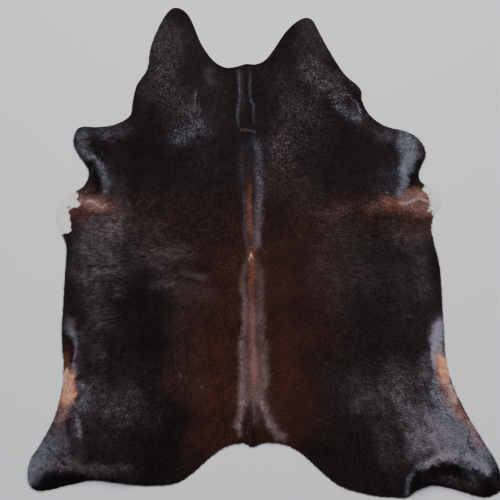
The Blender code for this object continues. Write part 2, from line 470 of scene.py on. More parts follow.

# %% [markdown]
# ## The colours of the coat
#
# Colours are linear numbers, as shaders take them. The coat starts black. Broad strokes
# of brown come first, because no brown cowhide is one brown, then the reddish back. The
# last strokes are painted shade: black over the withers, the thighs, the hems and the
# belly. The order of the table is the order of the painting.

# %% Broad browns and painted shade
TINTS = {
    "black": (0.0090, 0.0055, 0.0061),
    # the next two are painted shade, darker than the coat's black: for hollows, creases, pockets and hems
    "pitch": (0.0052, 0.0032, 0.0033),
    "deep": (0.0022, 0.0010, 0.0010),
    "umber": (0.0300, 0.0135, 0.0105),
    "plum": (0.0120, 0.0075, 0.0080),
    "chestnut": (0.0320, 0.0115, 0.0080),
    "bay": (0.0480, 0.0125, 0.0070),
    "rust": (0.2000, 0.0700, 0.0390),
    "ginger": (0.3000, 0.1250, 0.0800),
    "dust": (0.1300, 0.0760, 0.0680),
}
BROWNS = (
    # what it is, tint, strength, width, run-out, line from the spine
    ("left side", "plum", 0.9, 300, 0, (-600, 0), (-550, -400), (-500, -900)),
    ("right side", "plum", 0.9, 340, 0, (550, 0), (500, -400), (500, -850)),
    ("neck", "plum", 0.5, 250, 0, (-380, 1100), (-300, 600), (-200, 450)),
    ("right neck", "plum", 0.7, 250, 0, (300, 1000), (300, 600), (150, 350)),
    ("left mane", "umber", 0.25, 100, 0, (-120, 760), (-110, 600)),
    ("left girth", "umber", 0.75, 200, 0, (-780, 100), (-400, 80), (-260, 60)),
    ("right girth", "umber", 1.0, 190, 0, (320, 40), (420, 60), (800, 80)),
    ("right girth root", "umber", 0.6, 80, 0, (200, 20), (280, 0)),
    ("left haunch", "chestnut", 0.7, 130, 0, (-220, -360), (-230, -480), (-300, -680)),
    ("right haunch", "chestnut", 0.6, 150, 0, (280, -360), (310, -520)),
    ("right side rust", "chestnut", 0.5, 120, 0, (270, -60), (300, -140)),
    ("withers", "umber", 0.5, 180, 0, (40, 200), (160, 220)),
    ("right loin", "umber", 0.45, 220, 0, (280, -100), (360, -260)),
    ("back", "chestnut", 1.0, 480, 0, (0, -150), (0, -1000)),
    ("saddle", "bay", 0.35, 260, 100, (20, -20), (20, -950)),
    ("left rump", "bay", 0.7, 140, 100, (-150, -450), (-170, -800), (-210, -1020)),
    ("right rump", "bay", 0.55, 140, 100, (140, -400), (150, -800), (220, -980)),
    # painted shade from here on
    ("left withers shade", "black", 0.4, 100, 0, (-240, 60), (-150, -40)),
    ("left thigh shade", "pitch", 0.9, 170, 0, (-360, -860), (-360, -1040)),
    ("left hem shade", "pitch", 0.7, 100, 0, (-660, -1020), (-400, -1060)),
    ("right hem shade", "pitch", 0.7, 110, 0, (250, -970), (340, -1040)),
    ("left belly shade", "pitch", 0.8, 140, 0, (-500, -320), (-430, -520)),
)
print("broad strokes of colour:", len(BROWNS))

# %% [markdown]
# ## Small marks
#
# First comes painted shade in the hollows of neck, armpits and forelegs. Where the legs
# join the coat is rusty or tan: at the elbows, the flanks and the hocks, with painted shade
# in a hollow at the flank and one at the hock. The same rust runs along the spine. The
# last strokes are painted shade too: the creases, the pockets beside the tail and the dark
# pockets under the folds of the hind legs.

# %% Small marks
MARKS = (
    # what it is, tint, strength, width, run-out, line from the spine
    # painted shade in the hollows of forelegs, armpits and neck
    ("left foreleg hollow", "deep", 0.9, 30, 0, *HOLLOWS["left foreleg hollow"]),
    ("left foreleg rim", "deep", 0.6, 30, 0, (-800, 450), (-755, 360), (-720, 280)),
    ("left armpit", "deep", 0.3, 200, 0, (-450, 520), (-500, 320)),
    ("left neck shade", "pitch", 0.7, 60, 0, *HOLLOWS["left neck shade"]),
    ("right armpit", "deep", 0.3, 220, 0, (450, 420), (580, 250)),
    ("right foreleg hollow", "deep", 0.9, 20, 0, *HOLLOWS["right foreleg hollow"]),
    ("left elbow", "rust", 0.66, 85, 0, (-800, 140), (-660, 140)),
    ("left elbow foot", "bay", 0.5, 60, 0, (-770, 70), (-680, 80)),
    ("left elbow hem", "rust", 0.06, 50, 0, (-750, 95), (-600, 105)),
    ("right elbow root", "bay", 0.9, 80, 0, (740, 70), (550, 75)),
    ("right elbow", "rust", 1.0, 44, 0, (790, 140), (745, 135), (700, 118)),
    ("right elbow foot", "rust", 0.75, 56, 0, (810, 66), (760, 78), (690, 85), (630, 100)),
    ("right belly", "bay", 0.6, 80, 0, (820, 20), (740, 20)),
    ("right elbow tip", "umber", 0.9, 16, 0, (780, 180), (815, 162)),
    # painted shade
    ("left flank shade", "deep", 1.0, 24, 0, (-788, -465), (-770, -492), (-781, -525)),
    ("left flank top", "chestnut", 1.0, 34, 0, (-785, -525), (-780, -600)),
    ("left flank glow", "rust", 0.5, 24, 0, (-782, -560), (-778, -610)),
    ("left flank", "rust", 0.9, 50, 0, (-785, -640), (-775, -720), (-800, -790)),
    ("left flank foot", "dust", 0.9, 60, 0, (-785, -765), (-805, -830)),
    ("left flank ember", "ginger", 0.7, 20, 0, (-790, -765), (-780, -800)),
    ("left hock strip", "chestnut", 0.9, 30, 30, (-810, -820), (-850, -920)),
    # painted shade
    ("left hock shade", "pitch", 0.9, 26, 0, *HOLLOWS["left hock shade"]),
    ("right flank", "rust", 1.0, 46, 0, (785, -610), (795, -690), (820, -760)),
    ("right flank foot", "ginger", 1.0, 26, 0, (783, -705), (790, -745), (800, -772)),
    ("right hock root", "dust", 0.9, 40, 0, (800, -780), (835, -830)),
    ("right hock strip", "ginger", 0.6, 36, 50, (810, -760), (850, -840), (890, -920), (930, -1000)),
    ("crown glow", "rust", 0.65, 32, 0, (5, -118), (5, -136)),
    ("crown streak", "rust", 0.62, 23, 20, (6, -130), (8, -240), (5, -360)),
    ("tail streak", "rust", 0.6, 28, 60, (5, -300), (7, -420), (4, -550), (9, -670), (6, -780)),
    ("forward streak", "rust", 0.6, 22, 170, (3, 290), (5, 160), (5, -120)),
    # painted shade in creases and pockets from here on
    ("left shank crease", "deep", 1.0, 7, 10, *HOLLOWS["left shank crease"]),
    ("left hock crease", "deep", 1.0, 7, 10, *HOLLOWS["left hock crease"]),
    ("right side crease", "deep", 0.8, 11, 30, (545, 26), (620, 30), (700, 6)),
    ("left side crease", "deep", 0.7, 8, 30, *HOLLOWS["upper left side crease"]),
    ("left side crease", "deep", 0.7, 8, 30, *HOLLOWS["lower left side crease"]),
    ("left tail pocket", "chestnut", 1.0, 26, 0, *HOLLOWS["left tail pocket"]),
    ("right tail pocket", "chestnut", 1.0, 28, 0, *HOLLOWS["right tail pocket"]),
    ("tail groove", "deep", 1.0, 10, 0, (1, -860), (-2, -960)),
    ("left hind pocket", "deep", 1.6, 44, 0, *HOLLOWS["left hind pocket"]),
    ("left hind hem", "deep", 1.4, 24, 0, *HOLLOWS["left hind hem"]),
    ("right hind pocket", "deep", 1.2, 50, 0, (655, -1108), (696, -1086), (738, -1070), (783, -1060),
     (828, -1070), (871, -1092), (915, -1125)),
    ("right hind hem", "deep", 1.0, 50, 0, (640, -1155), (740, -1130), (900, -1160)),
)
MOTTLE = ((0.12, 0.045, 41), (0.12, 0.150, 42))     # strength, size, seed


def covered(colour, tint, share):
    """Rows of colour, each mixed with a tint in its own share."""
    return colour * (1.0 - share)[:, None] + np.array(tint) * share[:, None]


def paint(on):
    """The coat's colour and its painted shade after all strokes, as rows of red, green, blue and 1."""
    colour = np.tile(np.array(TINTS["black"]), (len(on[0]), 1))
    for _name, tint, strength, width, run_out, *line in BROWNS + MARKS:
        share = np.minimum(strength * stroke(on, line, width, run_out), 1.0)
        colour = covered(colour, TINTS[tint], share)
    # the dark licks, in the deepest painted shade
    for _tint, cover in licks(on, "dark"):
        colour = covered(colour, TINTS["deep"], cover)
    mottle = 1.0 + layered(on[0], MOTTLE)
    return np.column_stack((colour * mottle[:, None], np.ones(len(colour))))


print("mean ground colour:", paint(sheet_canvas).mean(axis=0).round(4))

# %% [markdown]
# ## Painted sheen
#
# Short hair shines where it stands to the light: over folds, where two ways of lying
# meet, and in loose tufts on shoulders and thighs. Here that sheen is painted into the
# colour, and never as a flat veil: it is made of single bright locks, few in a faint
# sheen and many in a strong one. So a painted sheen is stored as a colour and as a share
# of locks, and each lock decides later whether it belongs to the share. Some pale and tan
# hair is laid the same way. The neck, the forelegs and the elbows come first.

# %% Painted sheen on the front half
# colours of the painted sheen; flax and tan also give pale hair
SHEEN_AND_PALE_HAIR_COLOURS = {
    "slate": (0.200, 0.200, 0.250),
    "silver": (0.340, 0.310, 0.380),
    "mauve": (0.220, 0.175, 0.200),
    "dusk": (0.270, 0.185, 0.185),
    "rose": (0.330, 0.200, 0.190),
    "flax": (0.640, 0.440, 0.370),
    "tan": (0.880, 0.395, 0.235),
}
FRONT_SHEEN_AND_PALE_HAIR = (
    # what it is, colour, share, width, run-out, line from the spine
    ("left neck", "mauve", 0.15, 140, 100, (-390, 1120), (-390, 900), (-420, 760)),
    ("left neck base", "mauve", 0.022, 220, 0, (-300, 920), (-320, 600)),
    ("left neck haze", "slate", 0.05, 100, 0, (-385, 820), (-360, 700)),
    ("left neck foot", "mauve", 0.09, 150, 0, (-420, 740), (-370, 660), (-310, 600)),
    ("left neck freckles", "rose", 0.014, 100, 0, (-160, 720), (-120, 500)),
    ("left neck band", "mauve", 0.1, 50, 30, (-183, 860), (-169, 780), (-154, 720)),
    ("left neck whiskers", "mauve", 0.1, 36, 0, (-295, 600), (-235, 600)),
    ("left withers dapple", "mauve", 0.035, 90, 0, (-270, 570), (-170, 540)),
    ("left shoulder", "slate", 0.27, 85, 0, (-285, 475), (-225, 500)),
    ("left shoulder root", "slate", 0.06, 60, 0, (-370, 505), (-330, 470)),
    ("left shoulder freckles", "dusk", 0.03, 90, 0, (-220, 380), (-180, 300)),
    ("left shoulder haze", "slate", 0.03, 90, 0, (-370, 490), (-340, 450)),
    ("left shoulder strand", "mauve", 0.2, 9, 30, (-359, 510), (-304, 493), (-247, 475)),
    ("left shoulder strand", "mauve", 0.2, 10, 30, (-330, 475), (-270, 456), (-210, 440)),
    ("left shoulder strand", "mauve", 0.18, 10, 30, (-300, 530), (-240, 515), (-190, 490)),
    ("left neck line", "silver", 0.18, 7, 30, (-234, 723), (-243, 662), (-248, 617), (-245, 580)),
    ("left neck shade", "none", 0.7, 60, 0, *HOLLOWS["left neck shade"]),
    ("left arm root", "mauve", 0.14, 70, 0, (-650, 520), (-580, 500)),
    ("left foreleg cap", "slate", 0.15, 60, 0, (-785, 505), (-700, 510), (-620, 490)),
    ("left foreleg rim", "slate", 0.28, 44, 0, (-768, 479), (-768, 431), (-740, 380)),
    ("left foreleg streak", "slate", 0.36, 28, 50, (-745, 398), (-710, 364), (-691, 348), (-672, 312),
     (-656, 275), (-644, 240), (-641, 205), (-643, 165)),
    ("left foreleg haze", "mauve", 0.06, 55, 0, (-690, 380), (-650, 300), (-610, 200)),
    ("left foreleg foot", "mauve", 0.05, 55, 0, (-580, 240), (-575, 140)),
    ("right neck tip", "mauve", 0.1, 120, 0, (310, 1050), (320, 900)),
    ("right spray", "dusk", 0.085, 160, 100, (140, 280), (190, 460), (330, 660)),
    ("right spray edge", "mauve", 0.025, 160, 100, (260, 300), (360, 500)),
    ("right withers", "dusk", 0.06, 120, 0, (160, 760), (190, 600)),
    ("right neck", "mauve", 0.24, 100, 0, (310, 800), (350, 740), (430, 680)),
    ("right neck middle", "mauve", 0.08, 80, 0, (260, 600), (320, 660)),
    ("right neck curls", "mauve", 0.24, 16, 0, (285, 762), (323, 784)),
    ("right neck curls", "mauve", 0.24, 16, 0, (362, 742), (396, 706)),
    ("right swirl haze", "mauve", 0.24, 60, 0, (430, 640), (460, 580), (520, 550)),
    ("right swirl foot", "slate", 0.36, 34, 0, (430, 600), (462, 556), (510, 535)),
    ("right swirl eye", "none", 0.5, 24, 0, (472, 618), (480, 590)),
    ("right swirl ring", "silver", 0.8, 8, 10, (418, 645), (447, 661), (481, 650), (516, 605), (527, 555)),
    ("right swirl ring", "slate", 0.5, 12, 10, (422, 636), (434, 592), (470, 552), (516, 529)),
    ("right arm root", "mauve", 0.08, 90, 0, (560, 480), (640, 440)),
    ("right arm curls", "slate", 0.09, 50, 0, (600, 435), (684, 430)),
    ("right armpit", "mauve", 0.008, 200, 0, (400, 450), (550, 250)),
    ("right foreleg cap", "slate", 0.62, 36, 20, (716, 480), (718, 430), (722, 390)),
    ("right foreleg", "slate", 0.95, 52, 0, (722, 385), (722, 335), (706, 285)),
    ("right foreleg foot", "slate", 0.8, 28, 40, (703, 300), (697, 240), (693, 195), (682, 165), (672, 145),
     (660, 112)),
    ("right foreleg lobe", "slate", 0.5, 32, 0, (754, 410), (752, 360), (742, 310)),
    ("right foreleg veil", "mauve", 0.2, 44, 0, (774, 410), (776, 350)),
    ("right foreleg haze", "slate", 0.1, 85, 0, (660, 255), (636, 180)),
    ("right foreleg foot", "mauve", 0.03, 70, 0, (580, 220), (580, 150)),
    ("right shoulder foot", "dusk", 0.055, 130, 0, (120, 260), (260, 170)),
    ("beside the withers", "dusk", 0.1, 80, 0, (150, 430), (170, 320)),
    ("left elbow streak", "flax", 0.7, 10, 10, (-738, 136), (-724, 150), (-711, 154), (-699, 147),
     (-684, 138)),
    ("left elbow streak", "flax", 0.5, 8, 20, (-696, 145), (-669, 124), (-658, 121), (-644, 129),
     (-628, 143)),
    ("left elbow haze", "rose", 0.62, 64, 0, (-760, 150), (-670, 145)),
    ("right elbow streak", "flax", 0.95, 8, 10, (660, 102), (699, 96), (717, 104), (739, 114), (768, 116),
     (800, 100)),
    ("right elbow branch", "flax", 0.3, 8, 10, (736, 113), (758, 130), (778, 146)),
    ("right elbow haze", "rose", 0.46, 56, 0, (710, 115), (790, 120)),
    ("right elbow foot", "rose", 0.24, 50, 0, (700, 80), (790, 70)),
    ("right elbow rows", "rose", 0.15, 60, 0, (540, 85), (660, 95)),
    ("right girth rows", "rose", 0.06, 50, 0, (300, 65), (440, 75)),
)
print("strokes of bloom on the front half:", len(FRONT_SHEEN_AND_PALE_HAIR))

# %% [markdown]
# ## Painted sheen on the left side
#
# The left side has a long soft painted sheen, and the roll at its flank a narrow painted
# crest that ends in the tan hair of the groin. Behind it thigh and shank have a broad
# painted sheen.

# %% Painted sheen on the left side
LEFT_SHEEN_AND_PALE_HAIR = (
    # what it is, colour, share, width, run-out, line from the spine
    ("side", "mauve", 0.29, 140, 100, (-690, 120), (-685, -120), (-660, -280)),
    ("girth", "mauve", 0.19, 90, 0, (-580, 100), (-590, 20)),
    ("girth rows", "rose", 0.06, 60, 0, (-490, 30), (-380, 0)),
    ("belly ticks", "mauve", 0.14, 40, 0, (-565, -270), (-568, -300)),
    ("thigh top", "mauve", 0.12, 50, 0, (-660, -520), (-650, -560)),
    ("flank side", "mauve", 0.15, 36, 40, (-728, -420), (-722, -640)),
    ("side foot", "mauve", 0.12, 110, 60, (-680, -220), (-640, -500)),
    ("side shade", "mauve", 0.05, 120, 0, (-560, 20), (-540, -160)),
    ("loin rows", "dusk", 0.15, 100, 120, (-520, -20), (-380, -120), (-220, -110)),
    ("loin foot", "dusk", 0.08, 70, 0, (-400, -190), (-310, -275), (-200, -285)),
    ("loin whiskers", "dusk", 0.12, 30, 50, (-330, -195), (-160, -225)),
    ("loin ticks", "dusk", 0.1, 30, 60, (-470, -250), (-290, -253)),
    ("haunch", "dusk", 0.02, 140, 0, (-300, -360), (-260, -700)),
    ("flank fold", "silver", 0.26, 30, 60, (-768, -375), (-779, -425), (-769, -460), (-748, -500)),
    ("flank haze", "mauve", 0.2, 50, 60, (-775, -360), (-795, -420), (-785, -450)),
    ("flank taper", "silver", 0.26, 18, 20, (-772, -440), (-750, -482), (-744, -518)),
    ("flank crest", "silver", 0.4, 8, 10, (-744, -495), (-743, -535), (-746, -572), (-751, -605)),
    ("flank flare", "mauve", 0.6, 24, 10, (-748, -585), (-746, -622), (-727, -646)),
    ("flank cream", "flax", 1.4, 10, 0, (-777, -617), (-788, -645)),
    ("flank cream", "flax", 1.0, 12, 0, (-790, -642), (-790, -680)),
    ("flank tan", "tan", 1.15, 39, 0, (-768, -648), (-764, -690), (-770, -735)),
    ("flank blush", "flax", 0.45, 30, 0, (-772, -650), (-772, -715)),
    ("flank foot", "rose", 0.42, 30, 0, (-752, -762), (-770, -790), (-800, -825)),
    ("thigh front", "slate", 0.26, 36, 20, (-722, -650), (-705, -700), (-698, -760), (-725, -790)),
    ("thigh", "mauve", 0.17, 130, 0, (-690, -700), (-640, -760), (-560, -780)),
    ("thigh inside", "slate", 0.03, 80, 0, (-560, -700), (-500, -710)),
    ("thigh foot", "dusk", 0.03, 100, 0, (-680, -860), (-620, -880)),
    ("thigh back", "dusk", 0.05, 90, 0, (-500, -820), (-420, -840)),
    ("shank", "slate", 0.46, 130, 0, (-860, -940), (-870, -990), (-900, -1040)),
    ("shank haze", "mauve", 0.16, 120, 0, (-770, -860), (-780, -980)),
    ("shank corner", "slate", 0.22, 70, 0, (-910, -1020), (-920, -1070)),
    ("hind crest", "mauve", 0.2, 40, 140, (-950, -1030), (-780, -1012), (-680, -1020), (-440, -1040)),
)
print("strokes of bloom on the left side:", len(LEFT_SHEEN_AND_PALE_HAIR))

# %% [markdown]
# ## Painted sheen on the right side
#
# A hide is never the same on both sides, because it was laid down by hand. Here the
# flank's roll and the shank lie more to the light than on the left, so their painted
# sheen is brighter.

# %% Painted sheen on the right side
RIGHT_SHEEN_AND_PALE_HAIR = (
    # what it is, colour, share, width, run-out, line from the spine
    ("loin", "dusk", 0.07, 100, 0, (310, -190), (340, -250)),
    ("loin foot", "dusk", 0.04, 80, 0, (360, -360), (400, -400)),
    ("loin side", "dusk", 0.055, 150, 0, (370, -30), (440, -130), (460, -240)),
    ("side", "dusk", 0.13, 120, 0, (670, -60), (760, -50)),
    ("side rows", "mauve", 0.12, 70, 0, (740, -180), (750, -320)),
    ("flank haze", "mauve", 0.045, 180, 0, (640, -250), (700, -420)),
    ("flank fold", "silver", 0.85, 38, 100, (818, -400), (806, -450), (796, -480), (788, -510),
     (783, -540), (780, -575), (778, -640)),
    ("flank halo", "mauve", 0.28, 34, 80, (796, -410), (776, -480), (762, -540), (756, -600)),
    ("flank veil", "rose", 0.5, 22, 0, (796, -558), (796, -588)),
    ("flank strip", "silver", 0.62, 16, 30, (768, -540), (758, -580), (755, -610), (755, -654),
     (758, -695), (764, -730)),
    ("flank side", "mauve", 0.22, 46, 40, (738, -560), (722, -640), (722, -720)),
    ("flank tan", "tan", 1.35, 38, 0, (788, -618), (788, -650), (792, -686)),
    ("flank blush", "flax", 0.5, 24, 0, (788, -655), (794, -690)),
    ("flank cream", "flax", 0.8, 24, 0, (806, -709), (815, -745), (828, -780)),
    ("hock haze", "silver", 0.4, 46, 0, (758, -726), (762, -761), (780, -797), (806, -824)),
    ("thigh", "mauve", 0.17, 85, 50, (400, -770), (480, -785), (560, -775), (660, -730)),
    ("thigh glow", "mauve", 0.06, 80, 0, (590, -700), (615, -820)),
    ("thigh top", "mauve", 0.06, 100, 0, (460, -690), (540, -700), (640, -700)),
    ("thigh inside", "mauve", 0.045, 150, 0, (380, -710), (600, -760)),
    ("thigh front", "mauve", 0.1, 110, 0, (620, -650), (720, -740)),
    ("hock", "mauve", 0.17, 100, 0, (640, -820), (770, -880)),
    ("hock line", "silver", 0.22, 9, 10, (711, -808), (700, -863)),
    ("hock strip", "slate", 0.3, 60, 0, (745, -770), (804, -864), (874, -978), (916, -1034)),
    ("shank", "mauve", 0.62, 130, 0, (710, -900), (730, -960), (760, -1000)),
    ("shank back", "slate", 0.66, 130, 0, (780, -920), (840, -980), (890, -1020)),
    ("shank front", "mauve", 0.32, 55, 50, (650, -870), (638, -950), (650, -1040)),
    ("thigh foot", "mauve", 0.09, 90, 0, (510, -880), (590, -1030)),
    ("shank shade", "none", 0.5, 30, 0, (580, -900), (580, -960)),
    ("shank fringe", "mauve", 0.22, 12, 10, (611, -900), (622, -945)),
    ("hock fringe", "rose", 0.44, 34, 40, (800, -740), (845, -830), (885, -910), (925, -990)),
    ("hind crest", "silver", 0.5, 28, 30, (640, -1068), (653, -1056), (696, -1035), (738, -1019),
     (783, -1008), (828, -1016), (871, -1034), (913, -1060), (950, -1095)),
    ("pocket", "none", 1.4, 44, 0, (660, -1108), (696, -1086), (738, -1070), (783, -1060), (828, -1069),
     (871, -1090), (910, -1120)),
    ("hem", "none", 1.3, 50, 0, (650, -1160), (740, -1135), (900, -1165)),
    ("pocket gleam", "slate", 0.13, 30, 0, (845, -1068), (882, -1100)),
    ("pocket hair", "dusk", 0.022, 60, 0, (690, -1100), (900, -1120)),
    ("hind ridge", "slate", 0.44, 14, 30, (600, -1175), (602, -1140), (604, -1109), (615, -1084),
     (645, -1060)),
)
print("strokes of bloom on the right side:", len(RIGHT_SHEEN_AND_PALE_HAIR))

# %% [markdown]
# ## Painted sheen along the spine
#
# The marks along the spine are painted sheen where hair that lies one way meets hair
# that lies another: two lines from the mane to the crown on the back, a painted highlight
# at the crown, and two lines from there to the root of the tail, where they part.

# %% Painted sheen along the spine
SPINE_SHEEN = (
    # what it is, colour, share, width, run-out, line from the spine
    ("left mane haze", "slate", 0.07, 24, 60, (-31, 840), (-27, 724), (-28, 644), (-36, 550)),
    ("left mane line", "slate", 0.26, 10, 70, (-40, 840), (-36, 752), (-35, 671), (-41, 607), (-42, 550),
     (-40, 488)),
    ("right mane line", "slate", 0.19, 11, 70, (21, 840), (16, 728), (15, 655), (28, 621), (31, 579),
     (35, 521), (40, 493)),
    ("withers mark", "slate", 0.42, 7, 5, (-38, 487), (-21, 493), (-1, 491), (21, 485), (39, 477)),
    ("right withers line", "slate", 0.3, 32, 80, (26, 470), (38, 433), (48, 360), (53, 241), (49, 120)),
    ("right back line", "mauve", 0.44, 27, 50, (50, 190), (46, 125), (40, 46), (35, -30), (26, -92),
     (13, -120)),
    ("left withers haze", "slate", 0.07, 28, 60, (-28, 460), (-32, 374), (-33, 283), (-28, 180)),
    ("left back line", "mauve", 0.17, 16, 50, (-26, 210), (-18, 140), (-18, 40), (-17, -59), (-8, -99),
     (1, -122)),
    ("forward band", "slate", 0.05, 35, 50, (6, 460), (8, 240)),
    ("forward streak", "rose", 0.13, 18, 80, (4, 170), (5, -120)),
    ("crown", "flax", 1.5, 6, 0, (5, -124), (5, -130)),
    ("crown left ray", "flax", 0.45, 5, 10, (6, -122), (-2, -143), (-5, -160)),
    ("crown right ray", "flax", 0.3, 5, 10, (5, -122), (13, -142), (18, -155)),
    ("left tail line", "dusk", 0.26, 22, 30, (-4, -140), (-20, -171), (-27, -210), (-31, -249), (-32, -327),
     (-30, -403), (-31, -448), (-44, -515), (-46, -589), (-44, -662), (-42, -734), (-44, -810)),
    ("left tail body", "dusk", 0.18, 40, 80, (-18, -220), (-18, -400), (-30, -550), (-34, -700), (-30, -810)),
    ("right tail line", "dusk", 0.15, 30, 30, (12, -140), (26, -172), (35, -212), (40, -251), (44, -329),
     (45, -405), (46, -480), (52, -555), (53, -628), (50, -700), (40, -790)),
    ("right tail shine", "dusk", 0.1, 34, 50, (34, -200), (44, -330), (45, -460)),
    ("right tail body", "dusk", 0.16, 40, 100, (32, -320), (36, -500), (40, -660), (30, -800)),
    ("tail veil", "dusk", 0.2, 70, 120, (4, -500), (4, -660), (0, -860)),
    ("tail spread", "dusk", 0.2, 60, 60, (30, -700), (35, -780), (85, -870)),
    ("tail streak", "rose", 0.26, 20, 80, (6, -330), (8, -420), (6, -550), (8, -640), (4, -720)),
    ("left tail leg", "dusk", 0.46, 32, 30, (-34, -750), (-44, -790), (-54, -830), (-66, -860), (-82, -886)),
    ("left tail curl", "dusk", 0.42, 18, 10, (-82, -880), (-61, -874), (-52, -915)),
    ("right tail leg", "dusk", 0.48, 32, 30, (24, -760), (43, -806), (63, -842), (83, -870), (102, -900),
     (124, -940)),
    ("tail groove", "slate", 0.24, 7, 40, (0, -735), (3, -799), (2, -885)),
)
print("strokes of bloom along the spine:", len(SPINE_SHEEN))

# %% [markdown]
# ## Bare places
#
# The strokes with no colour take the painted sheen away again. Most of them come last:
# hollows, creases and a few dark spots, with two thin painted gleams over them. The other
# two tables say where single locks flash in painted glints and where the coat is even,
# which shows most on the back.

# %% Bare places, rough and sleek ones
BARE = (
    # what it is, colour, share, width, run-out, line from the spine
    ("left pocket", "none", 1.6, 44, 0, *HOLLOWS["left hind pocket"]),
    ("left hem", "none", 1.4, 24, 0, *HOLLOWS["left hind hem"]),
    ("left arm spot", "none", 0.8, 18, 0, (-628, 470), (-610, 462)),
    ("left arm spot", "none", 0.7, 16, 0, (-585, 455), (-575, 450)),
    ("left foreleg hollow", "none", 0.9, 30, 0, *HOLLOWS["left foreleg hollow"]),
    ("left foreleg gleam", "slate", 0.1, 12, 0, (-717, 273), (-710, 317)),
    ("right foreleg hollow", "none", 0.9, 20, 0, *HOLLOWS["right foreleg hollow"]),
    ("left hock shade", "none", 0.8, 24, 0, *HOLLOWS["left hock shade"]),
    ("left thigh streak", "silver", 0.26, 15, 40, (-737, -780), (-719, -845), (-709, -882), (-706, -925)),
    ("left flank crease", "none", 0.8, 9, 20, *HOLLOWS["upper left side crease"]),
    ("left flank crease", "none", 0.8, 9, 20, *HOLLOWS["lower left side crease"]),
    ("right hock hollow", "none", 0.6, 22, 0, (727, -796), (752, -814)),
    ("left shank crease", "none", 0.9, 7, 10, *HOLLOWS["left shank crease"]),
    ("left hock crease", "none", 0.9, 7, 10, *HOLLOWS["left hock crease"]),
    ("right thigh crease", "none", 0.5, 18, 60, (380, -845), (500, -853), (640, -845)),
    ("right shank crease", "none", 0.9, 7, 10, (791, -1030), (835, -992)),
    ("left tail pocket", "none", 0.9, 22, 0, *HOLLOWS["left tail pocket"]),
    ("right tail pocket", "none", 0.9, 24, 0, *HOLLOWS["right tail pocket"]),
    ("tail groove end", "none", 1.0, 12, 0, (-2, -890), (-3, -960)),
)
SPARKLE = (
    # where single locks flash in painted glints, strength, width, line
    ("left neck", 0.8, 220, (-400, 850), (-340, 600), (-200, 400)),
    ("right neck", 0.8, 240, (300, 800), (200, 500), (160, 300)),
    ("right shoulder", 1.0, 200, (250, 450), (480, 620)),
    ("left thigh", 0.4, 220, (-650, -720), (-450, -780)),
    ("right hock", 0.3, 200, (600, -680), (750, -850)),
    ("girth", 0.4, 160, (-700, 120), (0, 120), (750, 100)),
    ("left shoulder", 0.8, 200, (-300, 500), (-200, 280)),
)
SLEEK = (
    # where the coat is even, strength, width, line
    ("neck of the spine", 0.5, 50, (0, 820), (0, 450)),
    ("spine", 0.8, 90, (10, 400), (6, -100), (6, -840)),
    ("left flank", 0.7, 60, (-785, -380), (-765, -580)),
    ("right flank", 0.8, 60, (810, -390), (775, -600)),
    ("left back", 0.7, 220, (-160, -250), (-180, -950)),
    ("right back", 0.9, 220, (160, -150), (180, -900)),
    ("left shank", 0.4, 120, (-840, -900), (-890, -1030)),
    ("left elbow", 0.6, 100, (-770, 130), (-660, 130)),
    ("right elbow", 0.6, 100, (800, 100), (680, 100)),
)
SHEEN_AND_PALE_HAIR_STROKES = FRONT_SHEEN_AND_PALE_HAIR + LEFT_SHEEN_AND_PALE_HAIR + RIGHT_SHEEN_AND_PALE_HAIR + SPINE_SHEEN + BARE
DAPPLE = ((0.25, 0.035, 31), (0.22, 0.120, 32), (0.28, 0.016, 33))     # strength, size, seed
SLEEK_EVENS = 0.8           # how far a sleek place loses its dapple
MOST_SHEEN_AND_PALE_HAIR = 3.0


def bloom(on):
    """The colour of the painted sheen and pale hair, and its share of the locks at each place."""
    colour = np.tile(np.array(SHEEN_AND_PALE_HAIR_COLOURS["mauve"]), (len(on[0]), 1))
    share = np.zeros(len(on[0]))
    for _name, tint, strength, width, run_out, *line in SHEEN_AND_PALE_HAIR_STROKES:
        cover = strength * stroke(on, line, width, run_out)
        if tint == "none":
            share = share * (1.0 - np.minimum(cover, 1.0))
            continue
        colour = covered(colour, SHEEN_AND_PALE_HAIR_COLOURS[tint], cover / np.maximum(cover + share, TINY))
        share = share + cover
    # painted glints and sheen of single licks
    for tint, cover in licks(on, "bright"):
        colour = covered(colour, SHEEN_AND_PALE_HAIR_COLOURS[tint], cover)
        share = share + cover
    for _tint, cover in licks(on, "dark"):
        share = share * (1.0 - cover)
    dapple = layered(on[0], DAPPLE) * (1.0 - SLEEK_EVENS * strongest(on, SLEEK))
    return np.column_stack((colour, np.clip(share * (1.0 + dapple), 0.0, MOST_SHEEN_AND_PALE_HAIR)))


print("mean share of bright locks:", round(float(bloom(sheet_canvas)[:, 3].mean()), 3))

# %% [markdown]
# ## White edges
#
# Where the belly's white reached the cut there is a patch of cream hair at each elbow.
# Its border is torn, because dark locks lie over white ones. So the patch too is stored
# as a number that runs from 0 to 1 across the border, and every lock decides by its
# own random number on which side it is.

# %% White edges
WHITE = (
    # what it is, strength, width, line
    ("left elbow", 1.3, 70, (-805, 185), (-845, 125)),
    ("left elbow point", 1.2, 36, (-800, 160), (-782, 134)),
    ("left belly", 1.2, 55, (-858, 90), (-850, 20)),
    ("left belly lick", 1.0, 26, (-820, 90), (-812, 12)),
    ("right elbow", 1.2, 60, (826, 148), (827, 105), (848, 70)),
    ("right belly", 0.9, 30, (850, 80), (852, 30)),
)
SPINE_MARK_X = 0.005        # the middle of the marks along the spine, where no rows show
SPINE_MARK = 0.06           # half their width
SPINE_MARK_FADE = 0.05


